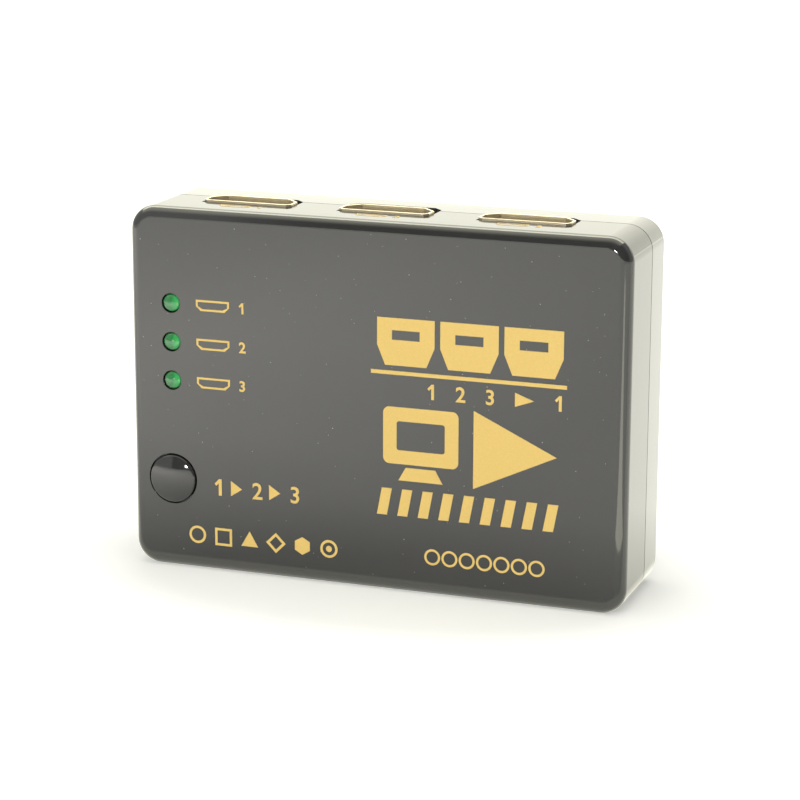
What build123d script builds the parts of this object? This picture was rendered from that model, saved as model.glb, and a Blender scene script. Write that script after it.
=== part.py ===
from build123d import *
from math import cos, radians, sin
import os

# A selector box for video cables: three inputs on its top edge, one output on its
# bottom edge, and a push button with three indicator lights on its front face.
# It stands on its long bottom edge, as on a shelf with the cables put in.
# X runs along the width, Y from the front face to the back, Z up.
# The origin lies under the middle of the whole box, on the surface it stands on.
# Lengths are in millimetres.

# Whole case
case_width = 81.2
case_height = 58.2
case_depth = 20.3
front_cover_depth = 11.9  # from the front face to the seam
wall = 1.8
corner_radius = 4.0
front_edge_radius = 1.8
back_edge_chamfer = 1.0
seam_gap = 0.15
lip_thickness = 0.8
lip_height = 1.2
lip_clearance = 0.1

# Stack behind the front face
button_proud = 0.9
component_space = 3.4  # from the front wall's inner face to the board
board_thickness = 1.6

# Places on the front face, from the case's own edges
light_inset = 7.1
light_drop = 15.1  # from the top to the first light
light_pitch = 6.2
light_count = 3
button_inset = 7.0
button_lift = 14.65

# Places along the top and bottom edges, from the case's sides
input_left_inset = 17.15
input_right_inset = 18.8
input_count = 3  # evenly spaced, the output under their middle
power_jack_inset = 17.6  # from the right side
remote_jack_inset = 17.6  # from the left side
mouth_recess = 0.1  # of the sockets in the bottom edge
input_proud = 0.35  # of the inputs above the top edge

# Screws
screw_inset = 5.3  # from the case's edges to each screw's axis
screw_radius = 1.0
screw_length = 10.4
screw_recess = 7.0  # from the back face to each head's seat
screw_clearance = 0.05

overrun = 1.0  # how far every cut runs past what it cuts

# Planes and places that the pieces share
front_y = (button_proud - case_depth) / 2
back_y = front_y + case_depth
seam_y = front_y + front_cover_depth
inner_front_y = front_y + wall
inner_back_y = back_y - wall
board_front_y = inner_front_y + component_space
board_back_y = board_front_y + board_thickness

light_x = light_inset - case_width / 2
light_places = [
    (light_x, case_height - light_drop - number * light_pitch)
    for number in range(light_count)
]
button_place = (button_inset - case_width / 2, button_lift)

# Two screws on one diagonal of the case, and plain posts on the other
corner_x = case_width / 2 - screw_inset
corner_low, corner_high = screw_inset, case_height - screw_inset
screw_places = [(-corner_x, corner_low), (corner_x, corner_high)]
post_places = [(-corner_x, corner_high), (corner_x, corner_low)]


def face_plane(y):
    # Parallel to the front face, with X to the right and Z up
    return Plane.XZ.offset(-y)


def extrude_back(length, mode=Mode.ADD):
    # Thickens a sketch on a face plane away from the front face
    extrude(amount=-length, mode=mode)


def turning_plane(place):
    # Level section through an axis along Y: X to the right, Y towards the back
    return Plane((place[0], 0, place[1]), x_dir=(1, 0, 0), z_dir=(0, 0, 1))


def turning_axis(place):
    return Axis((place[0], 0, place[1]), (0, 1, 0))


def edge_plane(x, y, on_top):
    # On the case's top or bottom, with its normal out of it and Y towards the back
    side = 1 if on_top else -1
    return Plane((x, y, case_height if on_top else 0), x_dir=(side, 0, 0), z_dir=(0, 0, side))


def axis_plane(plane, across=0):
    # Section along a socket's axis: X out of the mouth, Y towards the back
    origin = plane.from_local_coords((across, 0, 0))
    return Plane(origin, x_dir=plane.z_dir, z_dir=-plane.x_dir)


def board_place(plane, across, depth):
    # Where a leg at some depth behind a socket's mouth meets the board
    point = plane.from_local_coords((across, 0, -depth))
    return (point.X, point.Z)


def bar(left, right, low, high, mode=Mode.ADD):
    # Rectangle between two pairs of limits
    with Locations(((left + right) / 2, (low + high) / 2)):
        Rectangle(right - left, high - low, mode=mode)


def centred(count, pitch):
    # Places of a row around its own middle
    return [(number - (count - 1) / 2) * pitch for number in range(count)]


def save(piece, name):
    piece.part.label = name
    export_step(piece.part, f"parts/{name}.step")


os.makedirs("parts", exist_ok=True)

# Video sockets: the opening, narrow towards the back, and the sheet folded round it
socket_width = 14.0
socket_height = 4.55
socket_narrow_width = 10.2
socket_taper = 2.0  # height over which the opening narrows
socket_corner = 0.5  # cut off the corners of the wide side
socket_length = 10.9
sheet = 0.35
socket_standoff = 0.15  # sheet to board
socket_clearance = 0.2  # sheet to case

input_left = input_left_inset - case_width / 2
input_right = case_width / 2 - input_right_inset
input_pitch = (input_right - input_left) / (input_count - 1)
output_x = (input_left + input_right) / 2

socket_y = board_back_y + socket_standoff
input_edges = [
    edge_plane(input_left + number * input_pitch, socket_y, True) for number in range(input_count)
]
output_edge = edge_plane(output_x, socket_y, False)

# Planes of the sockets' mouths
socket_planes = {
    f"input_port_{number}": plane.offset(input_proud)
    for number, plane in enumerate(input_edges, start=1)
}
socket_planes["output_port"] = output_edge.offset(-mouth_recess)


def socket_profile(growth=0):
    # The opening in a socket's mouth plane, grown all round
    narrow, wide = socket_narrow_width / 2, socket_width / 2
    shoulder, top = sheet + socket_height - socket_taper, sheet + socket_height
    with BuildSketch(mode=Mode.PRIVATE) as profile:
        with BuildLine():
            Polyline(
                (-wide, sheet),
                (wide, sheet),
                (wide, shoulder),
                (narrow, top),
                (-narrow, top),
                (-wide, shoulder),
                close=True,
            )
        make_face()
        chamfer(profile.vertices().group_by(Axis.Y)[0], socket_corner)
        if growth:
            offset(amount=growth, kind=Kind.INTERSECTION)
    return profile.sketch


# Round sockets, for power and for the remote control's eye
jack_nose_radius = 2.6
jack_nose_clearance = 0.15
jack_axis_height = 2.75  # above the board

jack_y = board_back_y + jack_axis_height
power_jack_x = case_width / 2 - power_jack_inset
remote_jack_x = remote_jack_inset - case_width / 2
jack_edges = [edge_plane(x, jack_y, False) for x in (power_jack_x, remote_jack_x)]
power_jack_plane, remote_jack_plane = [plane.offset(-mouth_recess) for plane in jack_edges]

# Windows in the case for every socket: straight notches in the front cover, which
# reach the seam, and notches with their corners cut in the back cover
window_depth = wall + lip_clearance
notch_depth = 1.6  # in the back cover
middle_notch_depth = 2.5  # at the middle input, where it shows behind the shell
notch_corner = 1.5  # cut off each corner of a notch


def window_profile(notch_depth):
    half = socket_width / 2 + sheet + socket_clearance
    seam = seam_y - socket_y
    with BuildSketch(mode=Mode.PRIVATE) as profile:
        with BuildLine():
            Polyline(
                (-half, -socket_clearance),
                (half, -socket_clearance),
                (half, seam + notch_depth - notch_corner),
                (half - notch_corner, seam + notch_depth),
                (notch_corner - half, seam + notch_depth),
                (-half, seam + notch_depth - notch_corner),
                close=True,
            )
        make_face()
    return profile.sketch


with BuildPart() as socket_windows:
    with BuildSketch(*[edge.offset(overrun) for edge in (*input_edges, output_edge)]):
        add(window_profile(notch_depth))
    extrude(amount=-window_depth - overrun)
    with BuildSketch(input_edges[input_count // 2].offset(overrun)):
        add(window_profile(middle_notch_depth))
    extrude(amount=-window_depth - overrun)
    with BuildSketch(*[edge.offset(overrun) for edge in jack_edges]):
        Circle(jack_nose_radius + jack_nose_clearance)
    extrude(amount=-window_depth - overrun)

# Front cover: a tray with the holes for the lights and the button in its floor
light_hole_radius = 1.55
button_hole_radius = 4.1
boss_width = 4.8
pilot_depth = 3.0  # of each screw's hole, from the board
rib_thickness = 1.0
rib_relief = 0.6  # of each rib below the boss that it props
post_width = 3.0  # of the plain posts, in both covers

corner_cut_share = 0.6  # of the rounding that each straight cut stands for

rib_length = screw_inset - wall / 2
rib_places = [
    (x + (rib_length / 2 if x > 0 else -rib_length / 2), z) for x, z in screw_places
]


def case_outline():
    with Locations((0, case_height / 2)):
        RectangleRounded(case_width, case_height, corner_radius)


def inner_outline(inset):
    # The outline inside the wall, where straight cuts stand for the rounded corners
    with BuildSketch(mode=Mode.PRIVATE) as outline:
        with Locations((0, case_height / 2)):
            Rectangle(case_width - 2 * inset, case_height - 2 * inset)
        chamfer(outline.vertices(), corner_cut_share * (corner_radius - inset))
    return outline.sketch


with BuildPart() as front_cover:
    with BuildSketch(face_plane(front_y)):
        case_outline()
    extrude_back(front_cover_depth)
    fillet(front_cover.faces().sort_by(Axis.Y)[0].edges(), front_edge_radius)
    with BuildSketch(face_plane(inner_front_y)):
        add(inner_outline(wall))
    extrude_back(front_cover_depth, Mode.SUBTRACT)
    # Groove for the back cover's lip
    with BuildSketch(face_plane(seam_y - lip_height - lip_clearance)):
        add(inner_outline(wall - lip_thickness - lip_clearance))
    extrude_back(lip_height + lip_clearance + overrun, Mode.SUBTRACT)
    # Screw bosses and posts, which carry the board, and the bosses' ribs
    with BuildSketch(face_plane(inner_front_y)):
        with Locations(*screw_places):
            Rectangle(boss_width, boss_width)
        with Locations(*post_places):
            Rectangle(post_width, post_width)
    extrude_back(component_space)
    with BuildSketch(face_plane(inner_front_y)):
        with Locations(*rib_places):
            Rectangle(rib_length, rib_thickness)
    extrude_back(component_space - rib_relief)
    with BuildSketch(face_plane(board_front_y)):
        with Locations(*screw_places):
            Circle(screw_radius + screw_clearance)
    extrude(amount=pilot_depth, mode=Mode.SUBTRACT)
    # Holes in the front wall
    with BuildSketch(face_plane(front_y - overrun)):
        with Locations(*light_places):
            Circle(light_hole_radius)
        with Locations(button_place):
            Circle(button_hole_radius)
    extrude_back(wall + 2 * overrun, Mode.SUBTRACT)
    add(socket_windows.part, mode=Mode.SUBTRACT)
save(front_cover, "front_cover")

# Back cover: a shallower tray with a lip that enters the front cover
screw_post_width = 5.4
screw_head_radius = 1.8
screw_head_clearance = 0.3
screw_shank_clearance = 0.15

back_cover_y = seam_y + seam_gap

with BuildPart() as back_cover:
    with BuildSketch(face_plane(back_cover_y)):
        case_outline()
    extrude_back(back_y - back_cover_y)
    chamfer(back_cover.faces().sort_by(Axis.Y)[-1].edges(), back_edge_chamfer)
    # Lip around the inside of the rim
    with BuildSketch(face_plane(back_cover_y - lip_height)):
        add(inner_outline(wall - lip_thickness))
    extrude_back(lip_height + wall)
    with BuildSketch(face_plane(back_cover_y - lip_height)):
        add(inner_outline(wall))
    extrude_back(inner_back_y - back_cover_y + lip_height, Mode.SUBTRACT)
    # Posts that press the board against the front cover, and the screw posts' ribs
    with BuildSketch(face_plane(board_back_y)):
        with Locations(*screw_places):
            Rectangle(screw_post_width, screw_post_width)
        with Locations(*post_places):
            Rectangle(post_width, post_width)
    extrude_back(inner_back_y - board_back_y)
    with BuildSketch(face_plane(back_cover_y)):
        with Locations(*rib_places):
            Rectangle(rib_length, rib_thickness)
    extrude_back(inner_back_y - back_cover_y)
    # Deep holes for the screws
    with BuildSketch(face_plane(board_back_y - overrun)):
        with Locations(*screw_places):
            Circle(screw_radius + screw_shank_clearance)
    extrude_back(case_depth, Mode.SUBTRACT)
    with BuildSketch(face_plane(back_y - screw_recess)):
        with Locations(*screw_places):
            Circle(screw_head_radius + screw_head_clearance)
    extrude_back(screw_recess + overrun, Mode.SUBTRACT)
    add(socket_windows.part, mode=Mode.SUBTRACT)
save(back_cover, "back_cover")

# Screws of the case
screw_head_height = 1.3

screw_seat_y = back_y - screw_recess

with BuildPart() as case_screws:
    with BuildSketch(face_plane(screw_seat_y)):
        with Locations(*screw_places):
            Circle(screw_head_radius)
    extrude_back(screw_head_height)
    with BuildSketch(face_plane(screw_seat_y)):
        with Locations(*screw_places):
            Circle(screw_radius)
    extrude(amount=screw_length)
save(case_screws, "case_screws")

# Shells of the video sockets, with spring fingers and legs through the board
finger_start = 2.6  # from the mouth to each finger's window
finger_window_length = 5.4
finger_window_width = 2.2
finger_width = 1.5
finger_length = 4.6
finger_tip = 0.8
finger_dip = 0.4
finger_kick = 0.25  # by which each finger's tip turns back
finger_spread = 2.9  # from the socket's middle
front_leg_depth = 4.2
rear_leg_depth = 8.8
leg_width = 1.2
leg_tail = 0.7  # below the board
leg_overlap = 0.8  # along the side of the sheet, beyond its corner

leg_depths = (front_leg_depth, rear_leg_depth)
leg_across = (socket_width + sheet) / 2
leg_low = -socket_standoff - board_thickness - leg_tail
leg_high = sheet + socket_corner + leg_overlap
finger_root = -finger_start - finger_window_length
finger_bend = finger_root + finger_length - finger_tip
finger_end = finger_root + finger_length


def finger_profile():
    # A finger of the wide side, bent in towards its tip
    with BuildSketch(mode=Mode.PRIVATE) as profile:
        with BuildLine():
            Polyline(
                (finger_root, 0),
                (finger_root, sheet),
                (finger_bend, sheet + finger_dip),
                (finger_end, sheet + finger_dip - finger_kick),
                (finger_end, finger_dip - finger_kick),
                (finger_bend, finger_dip),
                close=True,
            )
        make_face()
    return profile.sketch


for port, plane in socket_planes.items():
    finger_planes = [axis_plane(plane, side * finger_spread) for side in (-1, 1)]
    with BuildPart() as shell:
        with BuildSketch(plane):
            add(socket_profile(sheet))
            add(socket_profile(), mode=Mode.SUBTRACT)
        extrude(amount=-socket_length)
        with BuildSketch(*finger_planes):
            bar(finger_root, -finger_start, -overrun, sheet + socket_corner)
        extrude(amount=finger_window_width / 2, both=True, mode=Mode.SUBTRACT)
        with BuildSketch(*finger_planes):
            add(finger_profile())
        extrude(amount=finger_width / 2, both=True)
        with BuildSketch(*[plane.offset(-depth) for depth in leg_depths]):
            with Locations(
                (-leg_across, (leg_low + leg_high) / 2), (leg_across, (leg_low + leg_high) / 2)
            ):
                Rectangle(sheet, leg_high - leg_low)
        extrude(amount=-leg_width)
    save(shell, f"{port}_shell")

# Contacts of the video sockets: two staggered rows on a tongue, soldered behind it
tongue_width = 10.9
tongue_thickness = 0.9
tongue_gap = 1.6  # from the tongue to the opening's wide side
tongue_setback = 1.2  # behind the mouth
tongue_root = 8.4  # from the mouth to the block that closes the socket
tongue_chamfer = 0.3
insulator_clearance = 0.05
contact_pitch = 1.0
contact_count = 10  # in the wide row, one more than in the narrow row
contact_width = 0.4
contact_thickness = 0.2
contact_setback = 0.5  # behind the tongue's end
contact_gap = 0.2  # behind the block

tongue_low = sheet + tongue_gap
tongue_high = tongue_low + tongue_thickness
riser_front = -socket_length - contact_gap
riser_back = riser_front - contact_thickness
contact_rows = ((tongue_low, -1, contact_count), (tongue_high, 1, contact_count - 1))


def contact_layer(surface, outward):
    # Heights between which a row of contacts lies on the tongue
    return sorted((surface, surface + outward * contact_thickness))


def contact_profile(low, high):
    # Along the tongue, through the block and down behind it to the board
    with BuildSketch(mode=Mode.PRIVATE) as profile:
        bar(riser_back, -tongue_setback - contact_setback, low, high)
        bar(riser_back, riser_front, -socket_standoff, high)
    return profile.sketch


for port, plane in socket_planes.items():
    with BuildPart() as contacts:
        for surface, outward, count in contact_rows:
            steps = centred(count, contact_pitch)
            with BuildSketch(*[axis_plane(plane, step) for step in steps]):
                add(contact_profile(*contact_layer(surface, outward)))
            extrude(amount=contact_width / 2, both=True)
    save(contacts, f"{port}_contacts")

    with BuildPart() as insulator:
        with BuildSketch(plane.offset(-tongue_setback)):
            bar(-tongue_width / 2, tongue_width / 2, tongue_low, tongue_high)
        extrude(amount=tongue_setback - tongue_root)
        tongue_end = insulator.faces().sort_by(Axis(plane.origin, plane.z_dir))[-1]
        chamfer(tongue_end.edges(), tongue_chamfer)
        with BuildSketch(plane.offset(-tongue_root)):
            add(socket_profile(-insulator_clearance))
        extrude(amount=tongue_root - socket_length)
        # A slot through the block for each row
        with BuildSketch(plane.offset(-tongue_root)):
            for surface, outward, count in contact_rows:
                half = ((count - 1) * contact_pitch + contact_width) / 2
                bar(-half, half, *contact_layer(surface, outward))
        extrude(amount=tongue_root - socket_length - overrun, mode=Mode.SUBTRACT)
    save(insulator, f"{port}_insulator")

# Lights: a clear domed body on a wire frame whose legs go through the board
light_proud = 0.4
light_dome = 0.35  # from the dome's edge to its top
light_radius = 1.45
light_flange_radius = 1.9
light_flange_height = 1.0
lead_width = 0.5
lead_pitch = 2.54
lead_neck_pitch = 1.3  # inside the body
lead_shoulder = 0.4  # from the board to the bend inside the flange
lead_tail = 1.2  # beyond the board
cup_height = 3.6  # from the board to the top of the wire frame
cup_width = 0.9

light_length = board_front_y - front_y + light_proud

for number, place in enumerate(light_places, start=1):
    with BuildPart() as leads:
        with BuildSketch(turning_plane(place)):
            for side in (-1, 1):
                foot, neck = side * lead_pitch / 2, side * lead_neck_pitch / 2
                shoulder_y = board_front_y - lead_shoulder
                bar(
                    foot - lead_width / 2,
                    foot + lead_width / 2,
                    shoulder_y - lead_width,
                    board_back_y + lead_tail,
                )
                bar(
                    min(foot, neck) - lead_width / 2,
                    max(foot, neck) + lead_width / 2,
                    shoulder_y - lead_width,
                    shoulder_y,
                )
                bar(
                    neck - lead_width / 2,
                    neck + lead_width / 2,
                    board_front_y - cup_height,
                    shoulder_y,
                )
            cup = (lead_width - lead_neck_pitch) / 2
            cup_y = board_front_y - cup_height
            bar(cup - cup_width, cup, cup_y, cup_y + cup_width)
        extrude(amount=lead_width / 2, both=True)
    save(leads, f"light_{number}_leads")

    with BuildPart() as lens:
        with BuildSketch(turning_plane(place)):
            with BuildLine():
                Polyline(
                    (0, board_front_y - light_length),
                    (0, board_front_y),
                    (light_flange_radius, board_front_y),
                    (light_flange_radius, board_front_y - light_flange_height),
                    (light_radius, board_front_y - light_flange_height),
                    (light_radius, board_front_y - light_length + light_dome),
                )
                TangentArc(
                    (0, board_front_y - light_length),
                    (light_radius, board_front_y - light_length + light_dome),
                    tangent=(1, 0),
                )
            make_face()
        revolve(axis=turning_axis(place))
        add(leads.part, mode=Mode.SUBTRACT)
    save(lens, f"light_{number}_lens")

# Select button: a domed cap, a flange behind the front wall and a short stem
button_clearance = 0.25  # cap to hole
button_dome = 0.4  # from the dome's edge to its top
button_edge = 0.4  # chamfer around the dome
button_flange_overlap = 0.6  # beyond the hole's edge
button_flange_thickness = 0.8
button_play = 0.1  # flange to the front wall at rest
button_stem_radius = 1.6
plunger_height = 2.15  # from the board to the plunger's top

button_radius = button_hole_radius - button_clearance
button_top_y = front_y - button_proud
button_dome_y = button_top_y + button_dome
button_flange_radius = button_hole_radius + button_flange_overlap
button_flange_y = inner_front_y + button_play
plunger_y = board_front_y - plunger_height

with BuildPart() as select_button:
    with BuildSketch(turning_plane(button_place)):
        with BuildLine():
            Polyline(
                (0, button_top_y),
                (0, plunger_y),
                (button_stem_radius, plunger_y),
                (button_stem_radius, button_flange_y + button_flange_thickness),
                (button_flange_radius, button_flange_y + button_flange_thickness),
                (button_flange_radius, button_flange_y),
                (button_radius, button_flange_y),
                (button_radius, button_dome_y + button_edge),
                (button_radius - button_edge, button_dome_y),
            )
            TangentArc(
                (0, button_top_y), (button_radius - button_edge, button_dome_y), tangent=(1, 0)
            )
        make_face()
    revolve(axis=turning_axis(button_place))
save(select_button, "select_button")

# Push switch under the button, on the front of the board
press_travel = 0.3
switch_width = 5.2
switch_height = 1.5  # from the board to the top of the metal cover
cover_sheet = 0.2
cover_inset = 0.15
cover_hole_clearance = 0.1
plunger_radius = 1.2
plunger_flange_radius = 1.7
plunger_flange_thickness = 0.3
well_radius = 2.0
dome_reach = 1.85  # from the middle to the end of each of four legs
dome_top_reach = 0.9
dome_leg_width = 1.0
dome_sheet = 0.1
dome_left = 0.32  # height that the dome keeps when it is pressed
dome_clearance = 0.03
terminal_width = 0.7
terminal_sheet = 0.15
terminal_reach = 0.9
terminal_spread = 1.85  # from the switch's middle line
terminal_root = 0.7  # inside the base

cover_y = board_front_y - switch_height
well_y = cover_y + cover_sheet
flange_back_y = well_y + plunger_flange_thickness
dome_top_y = flange_back_y + dome_clearance
dome_base_y = dome_top_y + press_travel + dome_left
terminal_places = [(x, z) for x in (-1, 1) for z in (-terminal_spread, terminal_spread)]


def switch_outline(inset):
    with Locations(button_place):
        Rectangle(switch_width - 2 * inset, switch_width - 2 * inset)


with BuildPart() as switch_terminals:
    with BuildSketch(face_plane(board_front_y)):
        for side, z in terminal_places:
            reach = (terminal_reach + terminal_root) / 2
            x = button_place[0] + side * (switch_width / 2 + reach - terminal_root)
            with Locations((x, button_place[1] + z)):
                Rectangle(2 * reach, terminal_width)
    extrude(amount=terminal_sheet)
save(switch_terminals, "switch_terminals")

with BuildPart() as switch_base:
    with BuildSketch(face_plane(board_front_y)):
        switch_outline(0)
    extrude(amount=switch_height - cover_sheet)
    with BuildSketch(face_plane(dome_base_y)):
        with Locations(button_place):
            Circle(well_radius)
    extrude(amount=dome_base_y - well_y + overrun, mode=Mode.SUBTRACT)
    add(switch_terminals.part, mode=Mode.SUBTRACT)
save(switch_base, "switch_base")

with BuildPart() as switch_cover:
    with BuildSketch(face_plane(well_y)):
        switch_outline(cover_inset)
        with Locations(button_place):
            Circle(plunger_radius + cover_hole_clearance, mode=Mode.SUBTRACT)
    extrude(amount=cover_sheet)
save(switch_cover, "switch_cover")

with BuildPart() as switch_plunger:
    with BuildSketch(face_plane(flange_back_y)):
        with Locations(button_place):
            Circle(plunger_flange_radius)
    extrude(amount=plunger_flange_thickness - dome_clearance)
    with BuildSketch(face_plane(flange_back_y)):
        with Locations(button_place):
            Circle(plunger_radius)
    extrude(amount=flange_back_y - plunger_y)
save(switch_plunger, "switch_plunger")

# Snap dome with four legs, raised towards the plunger and resting on the well's floor
dome_planes = [
    Plane((button_place[0], 0, button_place[1]), x_dir=x_dir, z_dir=z_dir)
    for x_dir, z_dir in (((1, 0, 0), (0, 0, 1)), ((0, 0, 1), (-1, 0, 0)))
]

with BuildPart() as switch_dome:
    with BuildSketch(*dome_planes):
        with BuildLine():
            Polyline(
                (-dome_reach, dome_base_y),
                (-dome_top_reach, dome_top_y),
                (dome_top_reach, dome_top_y),
                (dome_reach, dome_base_y),
                (dome_reach - dome_sheet, dome_base_y),
                (dome_top_reach - dome_sheet, dome_top_y + dome_sheet),
                (dome_sheet - dome_top_reach, dome_top_y + dome_sheet),
                (dome_sheet - dome_reach, dome_base_y),
                close=True,
            )
        make_face()
    extrude(amount=dome_leg_width / 2, both=True)
save(switch_dome, "switch_dome")

# Round sockets: a block on the board, a nose through the case and three contacts
jack_width = 6.4
jack_length = 10.6  # from the mouth to the block's back
jack_setback = 0.3  # of the block behind the case's wall
jack_back_wall = 1.2
leaf_sheet = 0.3
leaf_width = 1.6
leg_beyond = 0.8  # of each leg beyond the board
leg_narrowing = 0.5  # of each leg below its block

jack_front = wall + jack_setback - mouth_recess
jack_bore_depth = jack_length - jack_back_wall
leg_end = -jack_axis_height - board_thickness - leg_beyond


def leaf_contact(plane, tip_radius, depth, side):
    # A spring that touches the plug through the block's side, with its leg
    with BuildPart(mode=Mode.PRIVATE) as leaf:
        outside = jack_width / 2
        with BuildSketch(plane.offset(-depth)):
            bar(tip_radius, outside + leaf_sheet, 0, leaf_sheet)
        extrude(amount=leaf_width / 2, both=True)
        with BuildSketch(axis_plane(plane, outside)):
            bar(-depth - leaf_width / 2, leaf_width / 2 - depth, -jack_axis_height, leaf_sheet)
            half = (leaf_width - leg_narrowing) / 2
            bar(-depth - half, half - depth, leg_end, -jack_axis_height)
        extrude(amount=-leaf_sheet)
        if side < 0:
            mirror(about=axis_plane(plane), mode=Mode.REPLACE)
    return leaf.part


def jack_block(plane, bore_radius):
    # The moulded body, whose bore is open towards the mouth
    with BuildPart(mode=Mode.PRIVATE) as block:
        with BuildSketch(plane.offset(-jack_front)):
            bar(-jack_width / 2, jack_width / 2, -jack_axis_height, jack_nose_radius)
        extrude(amount=jack_front - jack_length)
        with BuildSketch(plane):
            Circle(jack_nose_radius)
        extrude(amount=-jack_front)
        with BuildSketch(plane.offset(overrun)):
            Circle(bore_radius)
        extrude(amount=-jack_bore_depth - overrun, mode=Mode.SUBTRACT)
    return block.part


# Power socket
power_bore_radius = 1.9
power_pin_radius = 0.65
power_pin_setback = 1.2
power_leaf_lead = 3.2  # from the bore's end
power_leaf_reach = 0.25  # into the bore

power_leaf_depth = jack_bore_depth - power_leaf_lead

with BuildPart() as power_jack_pin:
    with BuildSketch(power_jack_plane.offset(-power_pin_setback)):
        Circle(power_pin_radius)
    extrude(amount=power_pin_setback - jack_length)
    with BuildSketch(power_jack_plane.offset(-jack_length)):
        bar(-leaf_width / 2, leaf_width / 2, -jack_axis_height, power_pin_radius)
        half = (leaf_width - leg_narrowing) / 2
        bar(-half, half, leg_end, -jack_axis_height)
    extrude(amount=-leaf_sheet)
save(power_jack_pin, "power_jack_pin")

with BuildPart() as power_jack_spring:
    leaf_tip = power_bore_radius - power_leaf_reach
    add(leaf_contact(power_jack_plane, leaf_tip, power_leaf_depth, 1))
save(power_jack_spring, "power_jack_spring")

with BuildPart() as power_jack_body:
    add(jack_block(power_jack_plane, power_bore_radius))
    add(power_jack_pin.part, mode=Mode.SUBTRACT)
    add(power_jack_spring.part, mode=Mode.SUBTRACT)
save(power_jack_body, "power_jack_body")

# Socket for the remote control's eye, with a metal collar that is its sleeve contact
remote_bore_radius = 1.8
remote_leaf_reach = 0.5  # into the body's bore, which is as wide as the collar
collar_sheet = 0.3
collar_setback = 0.4
collar_length = 4.8
ring_leaf_lead = 2.5  # from the bore's end
tip_leaf_lead = 1.0

remote_body_radius = remote_bore_radius + collar_sheet
collar_back = collar_setback + collar_length
ring_leaf_depth = jack_bore_depth - ring_leaf_lead
tip_leaf_depth = jack_bore_depth - tip_leaf_lead
remote_leaves = ((-1, ring_leaf_depth), (1, tip_leaf_depth))

with BuildPart() as remote_jack_collar:
    with BuildSketch(remote_jack_plane.offset(-collar_setback)):
        Circle(remote_bore_radius + collar_sheet)
        Circle(remote_bore_radius, mode=Mode.SUBTRACT)
    extrude(amount=-collar_length)
    with BuildSketch(remote_jack_plane.offset(leaf_sheet - collar_back)):
        collar_low = -remote_bore_radius - collar_sheet / 2
        bar(-leaf_width / 2, leaf_width / 2, -jack_axis_height, collar_low)
        half = (leaf_width - leg_narrowing) / 2
        bar(-half, half, leg_end, -jack_axis_height)
    extrude(amount=-leaf_sheet)
save(remote_jack_collar, "remote_jack_collar")

with BuildPart() as remote_jack_contacts:
    leaf_tip = remote_body_radius - remote_leaf_reach
    for side, depth in remote_leaves:
        add(leaf_contact(remote_jack_plane, leaf_tip, depth, side))
save(remote_jack_contacts, "remote_jack_contacts")

with BuildPart() as remote_jack_body:
    add(jack_block(remote_jack_plane, remote_body_radius))
    add(remote_jack_collar.part, mode=Mode.SUBTRACT)
    add(remote_jack_contacts.part, mode=Mode.SUBTRACT)
save(remote_jack_body, "remote_jack_body")

# Chips on the back of the board: moulded bodies and bent leads
chip_standoff = 0.1
chip_chamfer = 0.15
lead_sheet = 0.15
lead_out = 0.45  # from the body to the bend
lead_reach = 1.0  # from the body to the foot's end

switch_chip_width = 7.0
switch_chip_height = 1.2
switch_chip_lead_count = 6  # on each of four sides
switch_chip_pitch = 1.0
controller_width = 3.9
controller_length = 4.9
controller_height = 1.5
controller_lead_count = 4  # on each of two sides
controller_pitch = 1.27
regulator_width = 6.5
regulator_length = 3.5
regulator_height = 1.6
regulator_lead_count = 3
regulator_pitch = 2.3
regulator_tab_width = 3.0
fine_lead_width = 0.3
coarse_lead_width = 0.45

# The switching chip lies in the middle of the board, level with the case's middle
controller_left = 20.0  # of the switching chip
controller_drop = 5.0  # below it
regulator_left = 3.0  # of the power socket
regulator_drop = 10.0  # below the switching chip

switch_chip_place = (output_x, case_height / 2)
controller_place = (output_x - controller_left, case_height / 2 - controller_drop)
regulator_place = (power_jack_x - regulator_left, case_height / 2 - regulator_drop)
switch_chip_size = (switch_chip_width, switch_chip_width, switch_chip_height)
controller_size = (controller_width, controller_length, controller_height)
regulator_size = (regulator_width, regulator_length, regulator_height)


def chip_body(place, size):
    width, length, height = size
    with BuildPart(mode=Mode.PRIVATE) as body:
        with BuildSketch(face_plane(board_back_y + chip_standoff)):
            with Locations(place):
                Rectangle(width, length)
        extrude_back(height)
        chamfer(body.faces().sort_by(Axis.Y)[-1].edges(), chip_chamfer)
    return body.part


def lead_row(place, size, angle, count, pitch, width):
    # Leads along one side of a chip, which faces the given way around Y
    reach = size[0] / 2 if angle % 180 == 0 else size[1] / 2
    outward = Vector(cos(radians(angle)), 0, sin(radians(angle)))
    along = Vector(-sin(radians(angle)), 0, cos(radians(angle)))
    origin = Vector(place[0], board_back_y, place[1]) + outward * reach
    middle = Plane(origin, x_dir=outward, z_dir=along)
    top = chip_standoff + size[2] / 2
    with BuildPart(mode=Mode.PRIVATE) as row:
        with BuildSketch(*[middle.offset(step) for step in centred(count, pitch)]):
            bar(0, lead_out, top - lead_sheet, top)
            bar(lead_out - lead_sheet, lead_out, 0, top)
            bar(lead_out - lead_sheet, lead_reach, 0, lead_sheet)
        extrude(amount=width / 2, both=True)
    return row.part


with BuildPart() as switch_chip:
    add(chip_body(switch_chip_place, switch_chip_size))
save(switch_chip, "switch_chip")

with BuildPart() as switch_leads:
    for angle in (0, 90, 180, 270):
        add(
            lead_row(
                switch_chip_place,
                switch_chip_size,
                angle,
                switch_chip_lead_count,
                switch_chip_pitch,
                fine_lead_width,
            )
        )
save(switch_leads, "switch_chip_leads")

with BuildPart() as controller_chip:
    add(chip_body(controller_place, controller_size))
save(controller_chip, "controller_chip")

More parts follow.
